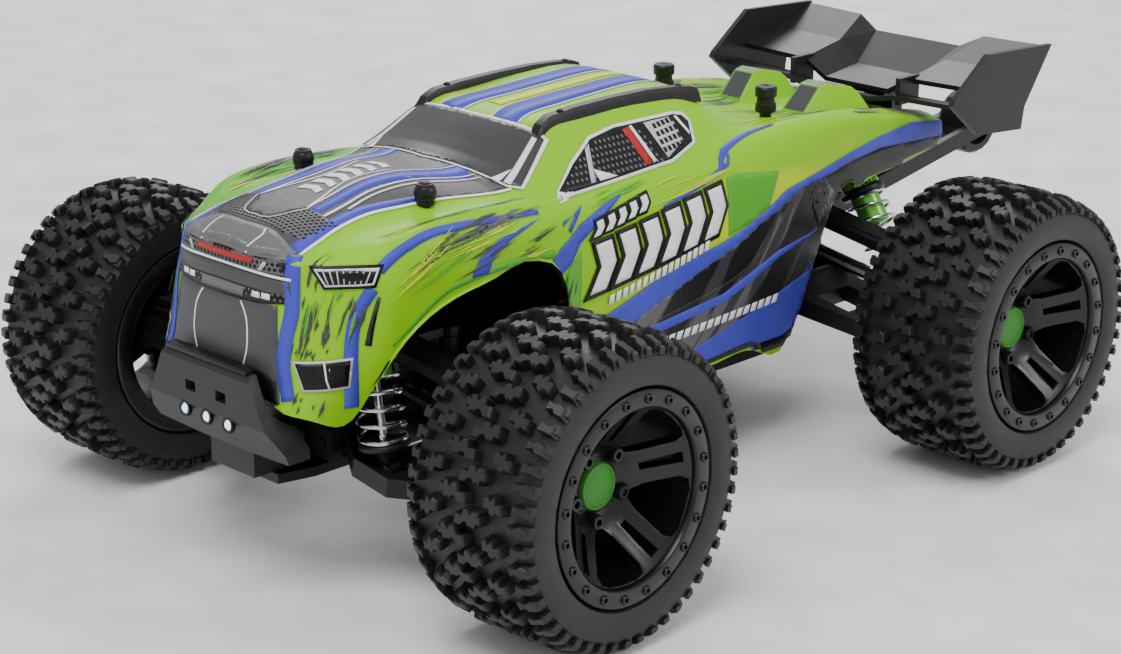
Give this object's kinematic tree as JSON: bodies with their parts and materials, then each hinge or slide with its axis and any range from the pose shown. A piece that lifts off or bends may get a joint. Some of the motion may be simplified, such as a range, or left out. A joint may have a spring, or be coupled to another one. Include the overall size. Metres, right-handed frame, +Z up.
{
  "type": "remote-controlled monster truck",
  "caption": "Off-road toy truck with a lime shell, high rear wing, knobbly tyres on slotted rims, coil-over suspension, steering linkage and geared drive.",
  "frame": {"origin": "on the ground, under the middle of the bounding box", "axes": "+Z up; +Y towards the tail, so the nose points along -Y; the truck's left side is at +X"},
  "size_m": [0.2416, 0.3752, 0.127],
  "materials": {
    "lime_shell": "glossy lime paint on a moulded shell",
    "black_plastic": "satin black nylon",
    "grey_plastic": "satin very dark grey plastic",
    "tyre_rubber": "matt black soft rubber",
    "rim_plastic": "satin black plastic",
    "bright_steel": "bright turned steel",
    "spring_steel": "bright plated wire",
    "green_aluminium": "green anodised",
    "motor_can": "plated steel can",
    "brass_gear": "machined brass",
    "nylon_gear": "moulded dark nylon",
    "battery_wrap": "dark blue heat-shrink wrap"
  },
  "bodies": {
    "chassis": {"chassis_tray": "black_plastic", "front_bumper": "grey_plastic", "battery_pack": "battery_wrap", "receiver_unit": "black_plastic", "steering_servo": "black_plastic", "drive_motor": "motor_can", "front_gearbox": "black_plastic", "rear_gearbox": "black_plastic", "front_shock_tower": "black_plastic", "rear_shock_tower": "black_plastic", "front_body_mount": "black_plastic", "rear_body_mount": "black_plastic", "body_shell": "lime_shell", "rear_wing": "grey_plastic", "wheelie_bar": "black_plastic"},
    "driveline": {"spur_gear_shaft": "nylon_gear"},
    "pinion": {"pinion_gear": "brass_gear"},
    "wheelie_roller": {"wheelie_wheel": "black_plastic"},
    "centre_link": {"steering_link": "black_plastic"},
    "horn": {"servo_horn": "black_plastic"},
    "left_rod": {"left_tie_rod": "bright_steel"},
    "right_rod": {"right_tie_rod": "bright_steel"},
    "front_left_arm": {"front_left_lower_arm": "black_plastic"},
    "front_left_hub": {"front_left_c_hub": "black_plastic"},
    "front_left_upright": {"front_left_knuckle": "black_plastic"},
    "front_left_wheel": {"front_left_rim": "rim_plastic", "front_left_tyre": "tyre_rubber"},
    "front_left_link": {"front_left_upper_link": "black_plastic"},
    "front_left_shaft": {"front_left_drive_shaft": "bright_steel"},
    "front_left_shock": {"front_left_shock_body": "green_aluminium", "front_left_spring": "spring_steel"},
    "front_left_damper_rod": {"front_left_shock_rod": "bright_steel"},
    "front_right_arm": {"front_right_lower_arm": "black_plastic"},
    "front_right_hub": {"front_right_c_hub": "black_plastic"},
    "front_right_upright": {"front_right_knuckle": "black_plastic"},
    "front_right_wheel": {"front_right_rim": "rim_plastic", "front_right_tyre": "tyre_rubber"},
    "front_right_link": {"front_right_upper_link": "black_plastic"},
    "front_right_shaft": {"front_right_drive_shaft": "bright_steel"},
    "front_right_shock": {"front_right_shock_body": "green_aluminium", "front_right_spring": "spring_steel"},
    "front_right_damper_rod": {"front_right_shock_rod": "bright_steel"},
    "rear_left_arm": {"rear_left_lower_arm": "black_plastic"},
    "rear_left_hub": {"rear_left_hub_carrier": "black_plastic"},
    "rear_left_wheel": {"rear_left_rim": "rim_plastic", "rear_left_tyre": "tyre_rubber"},
    "rear_left_link": {"rear_left_upper_link": "black_plastic"},
    "rear_left_shaft": {"rear_left_drive_shaft": "bright_steel"},
    "rear_left_shock": {"rear_left_shock_body": "green_aluminium", "rear_left_spring": "spring_steel"},
    "rear_left_damper_rod": {"rear_left_shock_rod": "bright_steel"},
    "rear_right_arm": {"rear_right_lower_arm": "black_plastic"},
    "rear_right_hub": {"rear_right_hub_carrier": "black_plastic"},
    "rear_right_wheel": {"rear_right_rim": "rim_plastic", "rear_right_tyre": "tyre_rubber"},
    "rear_right_link": {"rear_right_upper_link": "black_plastic"},
    "rear_right_shaft": {"rear_right_drive_shaft": "bright_steel"},
    "rear_right_shock": {"rear_right_shock_body": "green_aluminium", "rear_right_spring": "spring_steel"},
    "rear_right_damper_rod": {"rear_right_shock_rod": "bright_steel"}
  },
  "joints": [
    {"name": "driveline_spin", "type": "hinge", "parent": "chassis", "child": "driveline", "pos_m": [0, -0.02385, 0.0485], "axis": [0, 1, 0], "continuous": true},
    {"name": "pinion_spin", "type": "hinge", "parent": "chassis", "child": "pinion", "pos_m": [-0.0171, -0.02385, 0.0465], "axis": [0, 1, 0], "continuous": true},
    {"name": "wheelie_spin", "type": "hinge", "parent": "chassis", "child": "wheelie_roller", "pos_m": [0, 0.17565, 0.0765], "axis": [1, 0, 0], "continuous": true},
    {"name": "front_left_suspension", "type": "hinge", "parent": "chassis", "child": "front_left_arm", "pos_m": [0.016, -0.13485, 0.041], "axis": [0, -1, 0], "range_deg": [-4, 12], "stiffness_Nm_per_rad": 0.52, "springref_deg": -20.05},
    {"name": "front_left_hub_tilt", "type": "hinge", "parent": "front_left_arm", "child": "front_left_hub", "pos_m": [0.078, -0.13485, 0.031], "axis": [0, -1, 0], "range_deg": [-12.24, 4.08]},
    {"name": "front_left_upper_link_swing", "type": "hinge", "parent": "chassis", "child": "front_left_link", "pos_m": [0.018, -0.13485, 0.0697], "axis": [0, -1, 0], "range_deg": [-4.68, 14.05]},
    {"name": "front_left_drive_shaft_swing", "type": "hinge", "parent": "chassis", "child": "front_left_shaft", "pos_m": [0.015, -0.13485, 0.0564], "axis": [0, -1, 0], "range_deg": [-3.89, 11.68]},
    {"name": "front_left_shock_swing", "type": "hinge", "parent": "chassis", "child": "front_left_shock", "pos_m": [0.031, -0.15335, 0.09], "axis": [0, -1, 0], "range_deg": [-0.48, 1.44]},
    {"name": "front_left_shock_travel", "type": "slide", "parent": "front_left_shock", "child": "front_left_damper_rod", "axis": [0.159, 0, -0.9873], "range_m": [-0.0049, 0.00163], "deforming": ["front_left_spring"]},
    {"name": "front_left_steer", "type": "hinge", "parent": "front_left_hub", "child": "front_left_upright", "pos_m": [0.082, -0.13485, 0.0462], "axis": [0, 0, 1], "range_deg": [-26.8, 23.2]},
    {"name": "front_left_wheel_spin", "type": "hinge", "parent": "front_left_upright", "child": "front_left_wheel", "pos_m": [0.09699, -0.13438, 0.0462], "axis": [0.9995, 0.0314, 0], "continuous": true},
    {"name": "front_right_suspension", "type": "hinge", "parent": "chassis", "child": "front_right_arm", "pos_m": [-0.016, -0.13485, 0.041], "axis": [0, 1, 0], "range_deg": [-4, 12], "stiffness_Nm_per_rad": 0.52, "springref_deg": -20.05},
    {"name": "front_right_hub_tilt", "type": "hinge", "parent": "front_right_arm", "child": "front_right_hub", "pos_m": [-0.078, -0.13485, 0.031], "axis": [0, 1, 0], "range_deg": [-12.24, 4.08]},
    {"name": "front_right_upper_link_swing", "type": "hinge", "parent": "chassis", "child": "front_right_link", "pos_m": [-0.018, -0.13485, 0.0697], "axis": [0, 1, 0], "range_deg": [-4.68, 14.05]},
    {"name": "front_right_drive_shaft_swing", "type": "hinge", "parent": "chassis", "child": "front_right_shaft", "pos_m": [-0.015, -0.13485, 0.0564], "axis": [0, 1, 0], "range_deg": [-3.89, 11.68]},
    {"name": "front_right_shock_swing", "type": "hinge", "parent": "chassis", "child": "front_right_shock", "pos_m": [-0.031, -0.15335, 0.09], "axis": [0, 1, 0], "range_deg": [-0.48, 1.44]},
    {"name": "front_right_shock_travel", "type": "slide", "parent": "front_right_shock", "child": "front_right_damper_rod", "axis": [-0.159, 0, -0.9873], "range_m": [-0.0049, 0.00163], "deforming": ["front_right_spring"]},
    {"name": "front_right_steer", "type": "hinge", "parent": "front_right_hub", "child": "front_right_upright", "pos_m": [-0.082, -0.13485, 0.0462], "axis": [0, 0, 1], "range_deg": [-26.9, 23.3]},
    {"name": "front_right_wheel_spin", "type": "hinge", "parent": "front_right_upright", "child": "front_right_wheel", "pos_m": [-0.09699, -0.13532, 0.0462], "axis": [0.9995, 0.0314, 0], "continuous": true},
    {"name": "rear_left_suspension", "type": "hinge", "parent": "chassis", "child": "rear_left_arm", "pos_m": [0.016, 0.05915, 0.041], "axis": [0, -1, 0], "range_deg": [-4, 12], "stiffness_Nm_per_rad": 0.52, "springref_deg": -20.05},
    {"name": "rear_left_hub_tilt", "type": "hinge", "parent": "rear_left_arm", "child": "rear_left_hub", "pos_m": [0.078, 0.05915, 0.031], "axis": [0, -1, 0], "range_deg": [-12.24, 4.08]},
    {"name": "rear_left_upper_link_swing", "type": "hinge", "parent": "chassis", "child": "rear_left_link", "pos_m": [0.018, 0.05915, 0.0697], "axis": [0, -1, 0], "range_deg": [-4.68, 14.05]},
    {"name": "rear_left_drive_shaft_swing", "type": "hinge", "parent": "chassis", "child": "rear_left_shaft", "pos_m": [0.015, 0.05915, 0.0564], "axis": [0, -1, 0], "range_deg": [-3.89, 11.68]},
    {"name": "rear_left_shock_swing", "type": "hinge", "parent": "chassis", "child": "rear_left_shock", "pos_m": [0.021, 0.07765, 0.084], "axis": [0, -1, 0], "range_deg": [-1.68, 5.05]},
    {"name": "rear_left_shock_travel", "type": "slide", "parent": "rear_left_shock", "child": "rear_left_damper_rod", "axis": [0.5362, 0, -0.8441], "range_m": [-0.00602, 0.00201], "deforming": ["rear_left_spring"]},
    {"name": "rear_left_wheel_spin", "type": "hinge", "parent": "rear_left_hub", "child": "rear_left_wheel", "pos_m": [0.097, 0.05915, 0.0462], "axis": [1, 0, 0], "continuous": true},
    {"name": "rear_right_suspension", "type": "hinge", "parent": "chassis", "child": "rear_right_arm", "pos_m": [-0.016, 0.05915, 0.041], "axis": [0, 1, 0], "range_deg": [-4, 12], "stiffness_Nm_per_rad": 0.52, "springref_deg": -20.05},
    {"name": "rear_right_hub_tilt", "type": "hinge", "parent": "rear_right_arm", "child": "rear_right_hub", "pos_m": [-0.078, 0.05915, 0.031], "axis": [0, 1, 0], "range_deg": [-12.24, 4.08]},
    {"name": "rear_right_upper_link_swing", "type": "hinge", "parent": "chassis", "child": "rear_right_link", "pos_m": [-0.018, 0.05915, 0.0697], "axis": [0, 1, 0], "range_deg": [-4.68, 14.05]},
    {"name": "rear_right_drive_shaft_swing", "type": "hinge", "parent": "chassis", "child": "rear_right_shaft", "pos_m": [-0.015, 0.05915, 0.0564], "axis": [0, 1, 0], "range_deg": [-3.89, 11.68]},
    {"name": "rear_right_shock_swing", "type": "hinge", "parent": "chassis", "child": "rear_right_shock", "pos_m": [-0.021, 0.07765, 0.084], "axis": [0, 1, 0], "range_deg": [-1.68, 5.05]},
    {"name": "rear_right_shock_travel", "type": "slide", "parent": "rear_right_shock", "child": "rear_right_damper_rod", "axis": [-0.5362, 0, -0.8441], "range_m": [-0.00602, 0.00201], "deforming": ["rear_right_spring"]},
    {"name": "rear_right_wheel_spin", "type": "hinge", "parent": "rear_right_hub", "child": "rear_right_wheel", "pos_m": [-0.097, 0.05915, 0.0462], "axis": [1, 0, 0], "continuous": true},
    {"name": "centre_link_slide", "type": "slide", "parent": "chassis", "child": "centre_link", "axis": [1, 0, 0], "range_m": [-0.0056, 0.00647]},
    {"name": "servo_horn_turn", "type": "hinge", "parent": "chassis", "child": "horn", "pos_m": [0.012, -0.10385, 0.0615], "axis": [0, 0, 1], "range_deg": [-18.41, 21.27]},
    {"name": "left_tie_rod_swing", "type": "hinge", "parent": "centre_link", "child": "left_rod", "pos_m": [0.02356, -0.12145, 0.05935], "axis": [0, -1, 0], "range_deg": [-4.36, 13.08]},
    {"name": "right_tie_rod_swing", "type": "hinge", "parent": "centre_link", "child": "right_rod", "pos_m": [-0.02444, -0.12145, 0.05935], "axis": [0, 1, 0], "range_deg": [-4.36, 13.08]}
  ],
  "couplings": [
    {"joint": "pinion_spin", "follows": "driveline_spin", "ratio": -2.5833},
    {"joint": "front_left_hub_tilt", "follows": "front_left_suspension", "ratio": -1},
    {"joint": "front_left_upper_link_swing", "follows": "front_left_suspension", "ratio": 1.1481},
    {"joint": "front_left_drive_shaft_swing", "follows": "front_left_suspension", "ratio": 0.95385},
    {"joint": "front_left_shock_swing", "follows": "front_left_suspension", "ratio": 0.11742},
    {"joint": "front_left_shock_travel", "follows": "front_left_suspension", "m_per_rad": -0.02296},
    {"joint": "front_right_hub_tilt", "follows": "front_right_suspension", "ratio": -1},
    {"joint": "front_right_upper_link_swing", "follows": "front_right_suspension", "ratio": 1.1481},
    {"joint": "front_right_drive_shaft_swing", "follows": "front_right_suspension", "ratio": 0.95385},
    {"joint": "front_right_shock_swing", "follows": "front_right_suspension", "ratio": 0.11742},
    {"joint": "front_right_shock_travel", "follows": "front_right_suspension", "m_per_rad": -0.02296},
    {"joint": "rear_left_hub_tilt", "follows": "rear_left_suspension", "ratio": -1},
    {"joint": "rear_left_upper_link_swing", "follows": "rear_left_suspension", "ratio": 1.1481},
    {"joint": "rear_left_drive_shaft_swing", "follows": "rear_left_suspension", "ratio": 0.95385},
    {"joint": "rear_left_shock_swing", "follows": "rear_left_suspension", "ratio": 0.41278},
    {"joint": "rear_left_shock_travel", "follows": "rear_left_suspension", "m_per_rad": -0.028178},
    {"joint": "rear_right_hub_tilt", "follows": "rear_right_suspension", "ratio": -1},
    {"joint": "rear_right_upper_link_swing", "follows": "rear_right_suspension", "ratio": 1.1481},
    {"joint": "rear_right_drive_shaft_swing", "follows": "rear_right_suspension", "ratio": 0.95385},
    {"joint": "rear_right_shock_swing", "follows": "rear_right_suspension", "ratio": 0.41278},
    {"joint": "rear_right_shock_travel", "follows": "rear_right_suspension", "m_per_rad": -0.028178},
    {"joint": "front_right_steer", "follows": "front_left_steer", "ratio": 1},
    {"joint": "centre_link_slide", "follows": "front_left_steer", "m_per_rad": -0.01356},
    {"joint": "servo_horn_turn", "follows": "front_left_steer", "ratio": -0.77816},
    {"joint": "left_tie_rod_swing", "follows": "front_left_suspension", "ratio": 1.069},
    {"joint": "right_tie_rod_swing", "follows": "front_right_suspension", "ratio": 1.069}
  ]
}
